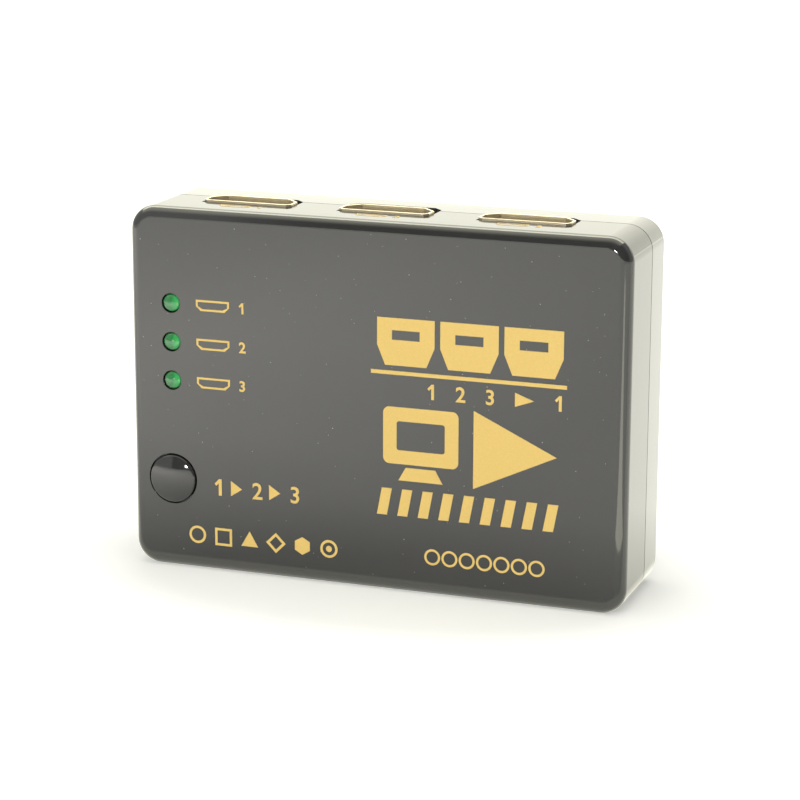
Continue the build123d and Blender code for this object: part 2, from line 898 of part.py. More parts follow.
with BuildPart() as controller_pins:
    for angle in (0, 180):
        add(
            lead_row(
                controller_place,
                controller_size,
                angle,
                controller_lead_count,
                controller_pitch,
                coarse_lead_width,
            )
        )
save(controller_pins, "controller_chip_leads")

with BuildPart() as regulator:
    add(chip_body(regulator_place, regulator_size))
save(regulator, "regulator")

with BuildPart() as regulator_pins:
    add(
        lead_row(
            regulator_place,
            regulator_size,
            270,
            regulator_lead_count,
            regulator_pitch,
            coarse_lead_width,
        )
    )
    add(lead_row(regulator_place, regulator_size, 90, 1, 0, regulator_tab_width))
save(regulator_pins, "regulator_leads")

# Electrolytic capacitors: cans on moulded feet
can_inset = 10.6  # from the case's right side
can_drop = 7.0  # of the lower can below the switching chip
can_pitch = 9.0
can_radius = 2.5
can_height = 4.5
can_foot_width = 5.3
can_foot_height = 0.9
can_foot_chamfer = 1.0

can_x = case_width / 2 - can_inset
can_low = case_height / 2 - can_drop
can_places = [(can_x, can_low), (can_x, can_low + can_pitch)]

with BuildPart() as capacitor_feet:
    with BuildSketch(face_plane(board_back_y)) as feet_outline:
        with Locations(*can_places):
            Rectangle(can_foot_width, can_foot_width)
        chamfer(feet_outline.vertices(), can_foot_chamfer)
    extrude_back(can_foot_height)
save(capacitor_feet, "capacitor_feet")

with BuildPart() as capacitor_cans:
    with BuildSketch(face_plane(board_back_y + can_foot_height)):
        with Locations(*can_places):
            Circle(can_radius)
    extrude_back(can_height)
save(capacitor_cans, "capacitor_cans")

# Small ceramic parts, in a row behind the inputs and another behind the output
ceramic_length = 1.6
ceramic_width = 0.8
ceramic_gap = 2.5  # from the sockets' contacts
capacitor_row_pitch = 6.4
capacitor_row_count = 8
resistor_row_pitch = 2.6
resistor_row_count = 6
resistor_height = 0.5

row_depth = mouth_recess - riser_back + ceramic_gap + ceramic_length / 2


def ceramic_row(lift, pitch, count, height):
    with BuildPart(mode=Mode.PRIVATE) as row:
        with BuildSketch(face_plane(board_back_y)):
            with Locations(*[(output_x + step, lift) for step in centred(count, pitch)]):
                Rectangle(ceramic_width, ceramic_length)
        extrude_back(height)
    return row.part


with BuildPart() as ceramic_capacitors:
    add(
        ceramic_row(
            case_height - row_depth, capacitor_row_pitch, capacitor_row_count, ceramic_width
        )
    )
save(ceramic_capacitors, "ceramic_capacitors")

with BuildPart() as resistors:
    add(ceramic_row(row_depth, resistor_row_pitch, resistor_row_count, resistor_height))
save(resistors, "resistors")

# Crystal: a ceramic base under a metal lid
crystal_rise = 6.0  # above the switching chip, over the controller
crystal_width = 5.0
crystal_depth = 3.2
crystal_height = 0.8
crystal_lid_inset = 0.3
crystal_lid_height = 0.3

crystal_place = (controller_place[0], case_height / 2 + crystal_rise)

with BuildPart() as crystal:
    with BuildSketch(face_plane(board_back_y)):
        with Locations(crystal_place):
            Rectangle(crystal_width, crystal_depth)
    extrude_back(crystal_height)
    with BuildSketch(face_plane(board_back_y + crystal_height)):
        with Locations(crystal_place):
            Rectangle(crystal_width - 2 * crystal_lid_inset, crystal_depth - 2 * crystal_lid_inset)
    extrude_back(crystal_lid_height)
save(crystal, "crystal")

# Circuit board, with holes for the screws and for every leg that goes through it
board_clearance = 0.5  # board to case
leg_clearance = 0.12  # leg to hole

leg_slots = []
for plane in socket_planes.values():
    for depth in leg_depths:
        for across in (-leg_across, leg_across):
            place = board_place(plane, across, depth + leg_width / 2)
            leg_slots.append((place, sheet, leg_width))
narrow_leg = leaf_width - leg_narrowing
leaf_across = (jack_width + leaf_sheet) / 2
for plane, across, depth in (
    (power_jack_plane, leaf_across, power_leaf_depth),
    (remote_jack_plane, -leaf_across, ring_leaf_depth),
    (remote_jack_plane, leaf_across, tip_leaf_depth),
):
    leg_slots.append((board_place(plane, across, depth), leaf_sheet, narrow_leg))
for plane, depth in (
    (power_jack_plane, jack_length + leaf_sheet / 2),
    (remote_jack_plane, collar_back - leaf_sheet / 2),
):
    leg_slots.append((board_place(plane, 0, depth), narrow_leg, leaf_sheet))
for x, z in light_places:
    for side in (-1, 1):
        leg_slots.append(((x + side * lead_pitch / 2, z), lead_width, lead_width))

with BuildPart() as circuit_board:
    with BuildSketch(face_plane(board_front_y)):
        add(inner_outline(wall + board_clearance))
        with Locations(*screw_places):
            Circle(screw_radius + screw_shank_clearance, mode=Mode.SUBTRACT)
        for place, width, length in leg_slots:
            with Locations(place):
                Rectangle(
                    width + 2 * leg_clearance,
                    length + 2 * leg_clearance,
                    mode=Mode.SUBTRACT,
                )
    extrude_back(board_thickness)
save(circuit_board, "circuit_board")
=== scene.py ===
from math import asin, cos, degrees, pi, radians, sin

import bmesh
import bpy
from mathutils import Matrix, Vector


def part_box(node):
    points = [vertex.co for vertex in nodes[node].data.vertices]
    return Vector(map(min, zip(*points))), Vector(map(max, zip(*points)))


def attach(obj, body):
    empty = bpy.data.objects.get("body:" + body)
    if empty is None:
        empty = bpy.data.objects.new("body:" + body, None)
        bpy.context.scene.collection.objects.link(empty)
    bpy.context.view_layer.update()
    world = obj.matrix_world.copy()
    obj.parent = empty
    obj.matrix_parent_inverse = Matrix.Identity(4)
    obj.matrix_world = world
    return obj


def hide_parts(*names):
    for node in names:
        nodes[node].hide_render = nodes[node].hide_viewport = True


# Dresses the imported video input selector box: finer mouldings, print, finishes and light.
# Sizes are in millimetres, and mm turns them to Blender's metres. The studio's are in metres.

mm = 0.001

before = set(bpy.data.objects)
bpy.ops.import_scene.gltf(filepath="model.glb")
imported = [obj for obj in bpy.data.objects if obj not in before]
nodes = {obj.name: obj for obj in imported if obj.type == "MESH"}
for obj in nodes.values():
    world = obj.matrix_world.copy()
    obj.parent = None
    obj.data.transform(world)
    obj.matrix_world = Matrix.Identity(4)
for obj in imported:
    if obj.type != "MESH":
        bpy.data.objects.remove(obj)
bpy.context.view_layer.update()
scene = bpy.context.scene
ports = ["input_port_1", "input_port_2", "input_port_3", "output_port"]
print("frame loaded:", len(nodes), "nodes")


def place(node):
    # Lowest and highest corner of a node in millimetres
    low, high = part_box(node)
    return low / mm, high / mm


caseLow, caseHigh = place("front_cover")
backHigh = place("back_cover")[1]
frontY = caseLow.y
mergeWithin = 0.0005  # points nearer than this are one


# Camera

view = {
    "place": (139.12, -382.953, 130.547),  # mm, in front of the box and to its right
    "yaw": 19.815,
    "pitch": 14.106,  # below level
    "roll": 0.187,
    "lens": 120.56,
    "sensor": 36.0,
}


def makeCamera(settings):
    data = bpy.data.cameras.new("photoCamera")
    data.lens = settings["lens"]
    data.sensor_width = settings["sensor"]
    data.clip_start = 0.01
    camera = bpy.data.objects.new("photoCamera", data)
    turn = (
        Matrix.Rotation(radians(settings["yaw"]), 4, "Z")
        @ Matrix.Rotation(radians(90 - settings["pitch"]), 4, "X")
        @ Matrix.Rotation(radians(settings["roll"]), 4, "Z")
    )
    camera.matrix_world = Matrix.Translation(Vector(settings["place"]) * mm) @ turn
    scene.collection.objects.link(camera)
    scene.camera = camera


makeCamera(view)


# Tools for materials

def toLinear(hexColour):
    channels = []
    for start in (1, 3, 5):
        value = int(hexColour[start:start + 2], 16) / 255
        channels.append(value / 12.92 if value <= 0.04045 else ((value + 0.055) / 1.055) ** 2.4)
    return (*channels, 1.0)


def addNode(tree, kind, settings=None, links=None):
    node = tree.nodes.new(kind)
    for name, value in (settings or {}).items():
        setattr(node, name, value)
    for key, value in (links or {}).items():
        if isinstance(value, bpy.types.NodeSocket):
            tree.links.new(value, node.inputs[key])
        else:
            node.inputs[key].default_value = value
    return node


def startMaterial(name):
    material = bpy.data.materials.new(name)
    material.use_nodes = True
    tree = material.node_tree
    tree.nodes.clear()
    shader = addNode(tree, "ShaderNodeBsdfPrincipled")
    addNode(tree, "ShaderNodeOutputMaterial", None, {"Surface": shader.outputs["BSDF"]})
    point = addNode(tree, "ShaderNodeTexCoord").outputs["Object"]
    return material, tree, shader, point


def perMetre(size):
    # Texture scale at which one feature is about so many millimetres
    return 1 / (size * mm)


def makeGlossAbs(name, coat):
    # ABS moulded in a polished tool: dark grey under a wet, very slightly wavy gloss
    look = {"colour": "#313130", "worn": "#363634", "wave": 2.6, "haze": 9.0,
            "roughness": 0.05, "duller": 0.03, "waveDepth": 0.1}
    material, tree, shader, point = startMaterial(name)
    haze = addNode(tree, "ShaderNodeTexNoise", None,
                   {"Vector": point, "Scale": perMetre(look["haze"]), "Detail": 3.0})
    colour = addNode(tree, "ShaderNodeMix", {"data_type": "RGBA"},
                     {"Factor": haze.outputs["Fac"], 6: toLinear(look["colour"]),
                      7: toLinear(look["worn"])})
    sheen = addNode(tree, "ShaderNodeMapRange", None,
                    {"Value": haze.outputs["Fac"], "To Min": look["roughness"],
                     "To Max": look["roughness"] + look["duller"]})
    wave = addNode(tree, "ShaderNodeTexNoise", None,
                   {"Vector": point, "Scale": perMetre(look["wave"]), "Detail": 1.0})
    bump = addNode(tree, "ShaderNodeBump", None,
                   {"Height": wave.outputs["Fac"], "Strength": 0.02,
                    "Distance": look["waveDepth"] * mm})
    tree.links.new(colour.outputs[2], shader.inputs["Base Color"])
    tree.links.new(sheen.outputs["Result"], shader.inputs["Roughness"])
    tree.links.new(bump.outputs["Normal"], shader.inputs["Normal"])
    shader.inputs["IOR"].default_value = 1.52
    shader.inputs["Coat Weight"].default_value = coat
    return material


def makeGoldInk():
    # Pad-printed metallic ink: warm, flat, with a faint grain of its flakes
    look = {"colour": "#dcb963", "flake": "#ebcb79", "grain": 0.22, "roughness": 0.55}
    material, tree, shader, point = startMaterial("goldInkPadPrinted")
    grain = addNode(tree, "ShaderNodeTexNoise", None,
                    {"Vector": point, "Scale": perMetre(look["grain"]), "Detail": 2.0})
    colour = addNode(tree, "ShaderNodeMix", {"data_type": "RGBA"},
                     {"Factor": grain.outputs["Fac"], 6: toLinear(look["colour"]),
                      7: toLinear(look["flake"])})
    tree.links.new(colour.outputs[2], shader.inputs["Base Color"])
    shader.inputs["Roughness"].default_value = look["roughness"]
    shader.inputs["IOR"].default_value = 1.4
    return material


def makeGreenEpoxy():
    # Tinted epoxy cast in a mould, under a clear gloss. Painted light: a lighter green is
    # painted across the body, from the darker near colour at its left to the lighter far colour
    # at its right, for the light the epoxy gathers there. A faint cloud of random tone lies
    # over it.
    look = {"near": "#256b39", "far": "#4bc069", "cloud": 0.9, "cloudShare": 0.25,
            "fromLeft": 1.7, "fromRight": 0.3, "bleed": (0.4, 1.2, 0.5), "roughness": 0.06}
    low, high = place("light_1_lens")
    material, tree, shader, point = startMaterial("greenEpoxyCast")
    cloud = addNode(tree, "ShaderNodeTexNoise", None,
                    {"Vector": point, "Scale": perMetre(look["cloud"]), "Detail": 1.0})
    parts = addNode(tree, "ShaderNodeSeparateXYZ", None, {"Vector": point})
    # Painted light: the green goes from darker at the left to lighter at the right, where the
    # epoxy gathers the light
    paintedLightAcross = addNode(tree, "ShaderNodeMapRange", {"interpolation_type": "SMOOTHSTEP"},
                     {"Value": parts.outputs["X"],
                      "From Min": (low.x + look["fromLeft"]) * mm,
                      "From Max": (high.x - look["fromRight"]) * mm})
    cloudAndPaintedLight = addNode(tree, "ShaderNodeMath", {"operation": "MULTIPLY_ADD"},
                    {0: cloud.outputs["Fac"], 1: look["cloudShare"],
                     2: paintedLightAcross.outputs["Result"]})
    colour = addNode(tree, "ShaderNodeMix", {"data_type": "RGBA"},
                     {"Factor": cloudAndPaintedLight.outputs[0], 6: toLinear(look["near"]),
                      7: toLinear(look["far"])})
    tree.links.new(colour.outputs[2], shader.inputs["Base Color"])
    shader.inputs["Roughness"].default_value = look["roughness"]
    shader.inputs["IOR"].default_value = 1.55
    shader.inputs["Subsurface Weight"].default_value = 0.3
    shader.inputs["Subsurface Radius"].default_value = [reach * mm for reach in look["bleed"]]
    shader.inputs["Subsurface Scale"].default_value = 1.0
    return material


def makeSheetMetal(name, light, dark, roughness, streak, metallic=1.0):
    # Rolled sheet, stamped and plated: soft streaks along its rolling
    look = {"squeeze": 0.12, "duller": 0.12}
    material, tree, shader, point = startMaterial(name)
    along = addNode(tree, "ShaderNodeMapping", None,
                    {"Vector": point, "Scale": (1.0, 1.0, look["squeeze"])})
    rolled = addNode(tree, "ShaderNodeTexNoise", None,
                     {"Vector": along.outputs["Vector"], "Scale": perMetre(streak),
                      "Detail": 2.0})
    colour = addNode(tree, "ShaderNodeMix", {"data_type": "RGBA"},
                     {"Factor": rolled.outputs["Fac"], 6: toLinear(light), 7: toLinear(dark)})
    sheen = addNode(tree, "ShaderNodeMapRange", None,
                    {"Value": rolled.outputs["Fac"], "To Min": roughness,
                     "To Max": roughness + look["duller"]})
    tree.links.new(colour.outputs[2], shader.inputs["Base Color"])
    tree.links.new(sheen.outputs["Result"], shader.inputs["Roughness"])
    shader.inputs["Metallic"].default_value = metallic
    return material


def makeMouldedPlastic(name, light, dark, roughness, grain, depth):
    # Filled plastic moulded in a blasted tool: an even matt grain
    material, tree, shader, point = startMaterial(name)
    speckle = addNode(tree, "ShaderNodeTexNoise", None,
                      {"Vector": point, "Scale": perMetre(grain), "Detail": 3.0})
    colour = addNode(tree, "ShaderNodeMix", {"data_type": "RGBA"},
                     {"Factor": speckle.outputs["Fac"], 6: toLinear(light), 7: toLinear(dark)})
    bump = addNode(tree, "ShaderNodeBump", None,
                   {"Height": speckle.outputs["Fac"], "Strength": 0.3, "Distance": depth * mm})
    tree.links.new(colour.outputs[2], shader.inputs["Base Color"])
    tree.links.new(bump.outputs["Normal"], shader.inputs["Normal"])
    shader.inputs["Roughness"].default_value = roughness
    shader.inputs["IOR"].default_value = 1.5
    return material


def makeDust():
    # House dust: pale, matt lint
    look = {"grey": "#a8a8a4", "pale": "#d8d8d2", "patch": 0.5, "roughness": 0.9}
    material, tree, shader, point = startMaterial("houseDust")
    tone = addNode(tree, "ShaderNodeTexNoise", None,
                   {"Vector": point, "Scale": perMetre(look["patch"])})
    colour = addNode(tree, "ShaderNodeMix", {"data_type": "RGBA"},
                     {"Factor": tone.outputs["Fac"], 6: toLinear(look["grey"]),
                      7: toLinear(look["pale"])})
    tree.links.new(colour.outputs[2], shader.inputs["Base Color"])
    shader.inputs["Roughness"].default_value = look["roughness"]
    return material


def makeBoard():
    # Glass-fibre laminate under green solder mask: a faint weave under a satin coat.
    # A band of the wave is about a third as wide as its scale says.
    look = {"mask": "#14502c", "raised": "#1b5f36", "weave": 4.0, "roughness": 0.35}
    material, tree, shader, point = startMaterial("laminateSolderMasked")
    weave = addNode(tree, "ShaderNodeTexWave", {"wave_type": "BANDS", "bands_direction": "X"},
                    {"Vector": point, "Scale": perMetre(look["weave"]), "Distortion": 0.4})
    colour = addNode(tree, "ShaderNodeMix", {"data_type": "RGBA"},
                     {"Factor": weave.outputs["Fac"], 6: toLinear(look["mask"]),
                      7: toLinear(look["raised"])})
    tree.links.new(colour.outputs[2], shader.inputs["Base Color"])
    shader.inputs["Roughness"].default_value = look["roughness"]
    return material


glossAbs = makeGlossAbs("glossBlackAbsMoulded", 0.0)
lacquerAbs = makeGlossAbs("glossBlackAbsLacquered", 0.2)
goldInk = makeGoldInk()
greenEpoxy = makeGreenEpoxy()
plating = makeSheetMetal("nickelPlatedBrassStamped", "#e6dcc4", "#cdbd98", 0.3, 1.2, 0.8)
contactGold = makeSheetMetal("goldFlashedBronzeStamped", "#d9b45e", "#b98f3c", 0.28, 0.8)
tinned = makeSheetMetal("tinnedCopperLeads", "#c9c9c6", "#a3a39f", 0.35, 0.6)
steel = makeSheetMetal("blackZincSteel", "#4b4a48", "#2f2e2d", 0.4, 0.7)
aluminium = makeSheetMetal("drawnAluminiumCan", "#cfd0d2", "#aeb0b3", 0.3, 2.0)
connectorBlack = makeMouldedPlastic(
    "glassFilledBlackPlastic", "#191918", "#232322", 0.5, 0.5, 0.03)
chipEpoxy = makeMouldedPlastic("chipEpoxyMoulded", "#232426", "#2d2e30", 0.6, 0.3, 0.02)
ceramic = makeMouldedPlastic("firedCeramic", "#8d7357", "#a68a69", 0.55, 0.4, 0.01)
dustMaterial = makeDust()
laminate = makeBoard()
print("materials made:", len(bpy.data.materials))


# Tools for pieces

def link(name, mesh, material, body):
    piece = bpy.data.objects.new(name, mesh)
    scene.collection.objects.link(piece)
    mesh.materials.append(material)
    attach(piece, body)
    return piece


def settle(piece):
    # Turns a piece with modifiers into a plain mesh
    bpy.context.view_layer.update()
    graph = bpy.context.evaluated_depsgraph_get()
    mesh = bpy.data.meshes.new_from_object(piece.evaluated_get(graph), depsgraph=graph)
    piece.modifiers.clear()
    piece.data = mesh
    return mesh


def smooth(mesh, angle=None):
    # Shades a mesh round, but for edges that bend by more than the angle
    for face in mesh.polygons:
        face.use_smooth = True
    if angle:
        mesh.set_sharp_from_angle(angle=radians(angle))


# Widths of the eased edges, and in degrees the least bend of an edge and the most of a flat
edges = {"cover": 0.14, "shell": 0.06, "chamfer": 0.5, "segments": 2, "bend": 32, "flat": 0.6}
# The chamfer round the back cover: its depth and a little more, and its edges' bend in radians
chamfer = {"depth": 1.05, "segments": 3, "leastBend": 0.6, "mostBend": 1.0}


def roundLoops(work, width):
    # Rounds a chamfer: both of its edge loops, which bend by about 45 degrees
    start = (backHigh.y - chamfer["depth"]) * mm
    loops = [edge for edge in work.edges if len(edge.link_faces) == 2
             and chamfer["leastBend"] < edge.calc_face_angle() < chamfer["mostBend"]
             and min(vertex.co.y for vertex in edge.verts) > start]
    bmesh.ops.bevel(work, geom=loops, offset=width * mm, segments=chamfer["segments"],
                    profile=0.5, affect="EDGES", clamp_overlap=True)


def refine(name, node, material, edge, chamferWidth=0.0):
    # A merged copy of a node, with its moulded or stamped edges eased
    mesh = nodes[node].data.copy()
    work = bmesh.new()
    work.from_mesh(mesh)
    bmesh.ops.remove_doubles(work, verts=work.verts, dist=mergeWithin * mm)
    bmesh.ops.dissolve_limit(work, angle_limit=radians(edges["flat"]), verts=work.verts,
                             edges=work.edges)
    if chamferWidth:
        roundLoops(work, chamferWidth)
    work.to_mesh(mesh)
    work.free()
    smooth(mesh)
    piece = bpy.data.objects.new(name, mesh)
    scene.collection.objects.link(piece)
    bevel = piece.modifiers.new("easedEdge", "BEVEL")
    bevel.width = edge * mm
    bevel.segments = edges["segments"]
    bevel.limit_method = "ANGLE"
    bevel.angle_limit = radians(edges["bend"])
    bevel.use_clamp_overlap = True
    weight = piece.modifiers.new("flatFaces", "WEIGHTED_NORMAL")
    weight.keep_sharp = True
    settle(piece)
    piece.data.materials.clear()
    piece.data.materials.append(material)
    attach(piece, "case")
    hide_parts(node)


def turned(name, profile, centre, material, body, steps=96):
    # Turns (radius, y) points about an axis along Y through centre (x, z)
    work = bmesh.new()
    rings = []
    for radius, y in profile:
        if radius == 0:
            rings.append([work.verts.new((centre[0] * mm, y * mm, centre[1] * mm))])
            continue
        rings.append([
            work.verts.new((
                (centre[0] + radius * cos(2 * pi * step / steps)) * mm,
                y * mm,
                (centre[1] + radius * sin(2 * pi * step / steps)) * mm,
            ))
            for step in range(steps)
        ])
    for first, second in zip(rings, rings[1:]):
        for step in range(steps):
            following = (step + 1) % steps
            corners = [first[step % len(first)], first[following % len(first)],
                       second[following % len(second)], second[step % len(second)]]
            work.faces.new(list(dict.fromkeys(corners)))
    bmesh.ops.recalc_face_normals(work, faces=work.faces)
    mesh = bpy.data.meshes.new(name)
    work.to_mesh(mesh)
    work.free()
    smooth(mesh, angle=40)
    return link(name, mesh, material, body)


def arcPoints(centre, radius, start, end, count):
    # Points on an arc in a profile's own plane, angles in degrees
    return [
        (centre[0] + radius * cos(radians(start + (end - start) * step / count)),
         centre[1] + radius * sin(radians(start + (end - start) * step / count)))
        for step in range(count + 1)
    ]


# Covers and the sockets' shells

refine("frontCoverMoulding", "front_cover", glossAbs, edges["cover"])
refine("backCoverMoulding", "back_cover", lacquerAbs, edges["cover"],
       edges["chamfer"])
for port in ports:
    refine(f"{port}Shell", f"{port}_shell", plating, edges["shell"])
print("covers and shells refined")


# Button: one dome that falls away at its rim, over the flange and the stem

button = {"cap": 3.85, "domeHeight": 0.6, "edgeRadius": 0.35, "stem": 1.6,
          "flangeBehind": 1.9, "flangeThickness": 0.8, "edgeSteps": 8, "domeSteps": 16}


def makeButton(settings):
    low, high = place("select_button")
    centre = ((low.x + high.x) / 2, (low.z + high.z) / 2)
    flange = (high.x - low.x) / 2
    cap, edge, top = settings["cap"], settings["edgeRadius"], low.y
    domeRadius = (cap ** 2 + settings["domeHeight"] ** 2) / (2 * settings["domeHeight"])
    # The edge's arc touches the dome from inside, and the cap's wall
    reach = cap - edge
    drop = domeRadius - ((domeRadius - edge) ** 2 - reach ** 2) ** 0.5
    limit = degrees(asin(reach / (domeRadius - edge)))
    profile = [(0, top)]
    for step in range(1, settings["domeSteps"] + 1):
        angle = radians(limit * step / settings["domeSteps"])
        profile.append((domeRadius * sin(angle), top + domeRadius * (1 - cos(angle))))
    profile += arcPoints((reach, top + drop), edge, limit - 90, 0, settings["edgeSteps"])[1:]
    flangeY = frontY + settings["flangeBehind"]
    flangeBack = flangeY + settings["flangeThickness"]
    profile += [(cap, flangeY), (flange, flangeY), (flange, flangeBack),
                (settings["stem"], flangeBack), (settings["stem"], high.y), (0, high.y)]
    piece = turned("selectButtonCap", profile, centre, glossAbs, "button")
    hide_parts("select_button")


makeButton(button)


# Lights: cast bodies whose domes fall away inside the holes

light = {"dome": 0.95, "radius": 1.45, "flange": 1.9, "flangeHeight": 1.0, "domeSteps": 16}


def makeLights(settings):
    for number in (1, 2, 3):
        low, high = place(f"light_{number}_lens")
        centre = (low.x + settings["flange"], (low.z + high.z) / 2)
        profile = [(0, low.y)]
        for step in range(1, settings["domeSteps"] + 1):
            angle = pi / 2 * step / settings["domeSteps"]
            profile.append((settings["radius"] * sin(angle),
                            low.y + settings["dome"] * (1 - cos(angle))))
        profile += [(settings["radius"], high.y - settings["flangeHeight"]),
                    (settings["flange"], high.y - settings["flangeHeight"]),
                    (settings["flange"], high.y), (0, high.y)]
        piece = turned(f"light{number}Body", profile, centre, greenEpoxy, "case", 64)
        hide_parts(f"light_{number}_lens")


makeLights(light)
print("button and lights turned")


# Print on the front face: closed outlines in (x, z), filled, with a thin body

inkDepth = 0.03
gold = {
    "lights": {"left": -29.2, "width": 5.6, "height": 1.75, "line": 0.32, "numeral": -22.0,
               "weight": 0.06},
    "big": {"left": 0.9, "right": 30.5, "low": 36.2, "high": 43.6, "count": 3, "gap": 0.9,
            "windowSide": 2.4, "windowLow": 3.4, "windowHigh": 1.9},
    "rule": {"left": -0.1, "right": 31.1, "middle": 35.05, "thickness": 0.6},
    "small": {"left": 9.0, "low": 31.3, "high": 33.7, "weight": 0.06,
              "numerals": (("1", 0.0), ("2", 4.6), ("3", 9.4), ("1", 20.2)),
              "arrowStart": 14.0, "arrowEnd": 17.0, "arrowInset": 0.1},
    "screen": {"left": 1.9, "right": 14.1, "low": 18.1, "high": 29.7, "frame": 2.2,
               "corner": 1.0, "innerCorner": 0.4, "lift": 2.6, "foot": 3.6, "neck": 2.4,
               "gap": 0.5},
    "arrow": {"left": 16.5, "right": 29.7, "low": 17.9, "high": 30.2},
    "blocks": {"left": 0.9, "right": 31.0, "low": 12.4, "high": 16.7, "count": 9, "gap": 1.7,
               "lean": 0.8},
    "dots": {"left": 8.7, "right": 28.1, "low": 5.0, "high": 7.6, "count": 7, "line": 0.36},
    "button": {"left": -26.5, "right": -12.1, "low": 12.6, "high": 15.9, "count": 3,
               "numeralWidth": 1.4, "numeralDrop": 0.6, "weight": 0.05, "arrowBack": 0.4,
               "arrowWidth": 1.9, "arrowLift": 0.1, "arrowDrop": 0.7},
    "marks": {"left": -29.5, "right": -7.1, "middle": 5.8, "height": 2.9, "count": 6,
              "line": 0.4, "pointed": 1.15, "triangleDrop": 0.25, "diamondLine": 0.6,
              "dot": 0.5},
}
socketShape = {"narrow": 0.14, "waist": 0.42}  # shares of its width and of its height


def roundedRectangle(left, right, low, high, corner, steps=6):
    points = []
    for x, z, start in ((right - corner, high - corner, 0),
                        (left + corner, high - corner, 90),
                        (left + corner, low + corner, 180),
                        (right - corner, low + corner, 270)):
        points += arcPoints((x, z), corner, start, start + 90, steps)
    return points


def plainRectangle(left, right, low, high):
    return [(left, low), (right, low), (right, high), (left, high)]


def circle(x, z, radius, steps=32):
    return arcPoints((x, z), radius, 0, 360 - 360 / steps, steps - 1)


def polygon(x, z, radius, count):
    # Regular, with one corner at the top
    return arcPoints((x, z), radius, 90, 90 + 360 - 360 / count, count - 1)


def socketOutline(left, right, low, high, inset=0.0):
    # A socket seen from its mouth: wide at the top, narrow at the bottom
    narrow = (right - left) * socketShape["narrow"]
    middle = low + (high - low) * socketShape["waist"]
    left, right, low, high = left + inset, right - inset, low + inset, high - inset
    return [(left, high), (left, middle), (left + narrow, low), (right - narrow, low),
            (right, middle), (right, high)]


def arrowHead(left, right, low, high):
    return [(left, low), (right, (low + high) / 2), (left, high)]


def inkMesh(outlines):
    # Fills closed outlines, an inner one leaving a hole
    curve = bpy.data.curves.new("inkOutlines", "CURVE")
    curve.dimensions = "2D"
    curve.fill_mode = "BOTH"
    curve.extrude = inkDepth / 2 * mm
    for outline in outlines:
        spline = curve.splines.new("POLY")
        spline.points.add(len(outline) - 1)
        for point, (x, z) in zip(spline.points, outline):
            point.co = (x * mm, z * mm, 0, 1)
        spline.use_cyclic_u = True
    return curveToMesh(curve)


def curveToMesh(curve):
    holder = bpy.data.objects.new("holder", curve)
    scene.collection.objects.link(holder)
    bpy.context.view_layer.update()
    graph = bpy.context.evaluated_depsgraph_get()
    mesh = bpy.data.meshes.new_from_object(holder.evaluated_get(graph), depsgraph=graph)
    bpy.data.objects.remove(holder)
    return mesh


# The one in a box a unit high, because the font's looks like a bare stroke
plainOne = ((0.02, 0.7), (0.3, 1.0), (0.47, 1.0), (0.47, 0.0), (0.28, 0.0), (0.28, 0.74),
            (0.13, 0.58))
fontRise = 1.4  # font size for numerals a unit high, nearly


def numeralMesh(text, left, low, high, weight):
    # A plain numeral fitted to a height
    if text == "1":
        height = high - low
        return inkMesh([[(left + x * height, low + z * height) for x, z in plainOne]])
    curve = bpy.data.curves.new("numerals", "FONT")
    curve.body = text
    curve.size = (high - low) * fontRise * mm
    curve.offset = weight * mm
    curve.extrude = inkDepth / 2 * mm
    mesh = curveToMesh(curve)
    xs = [v.co.x for v in mesh.vertices]
    ys = [v.co.y for v in mesh.vertices]
    scale = (high - low) * mm / (max(ys) - min(ys))
    for vertex in mesh.vertices:
        vertex.co.x = left * mm + (vertex.co.x - min(xs)) * scale
        vertex.co.y = low * mm + (vertex.co.y - min(ys)) * scale
    return mesh


def joinMeshes(name, meshes, move):
    work = bmesh.new()
    for mesh in meshes:
        work.from_mesh(mesh)
    bmesh.ops.transform(work, matrix=move, verts=work.verts)
    bmesh.ops.remove_doubles(work, verts=work.verts, dist=mergeWithin * mm)
    bmesh.ops.recalc_face_normals(work, faces=work.faces)
    joined = bpy.data.meshes.new(name)
    work.to_mesh(joined)
    work.free()
    return joined


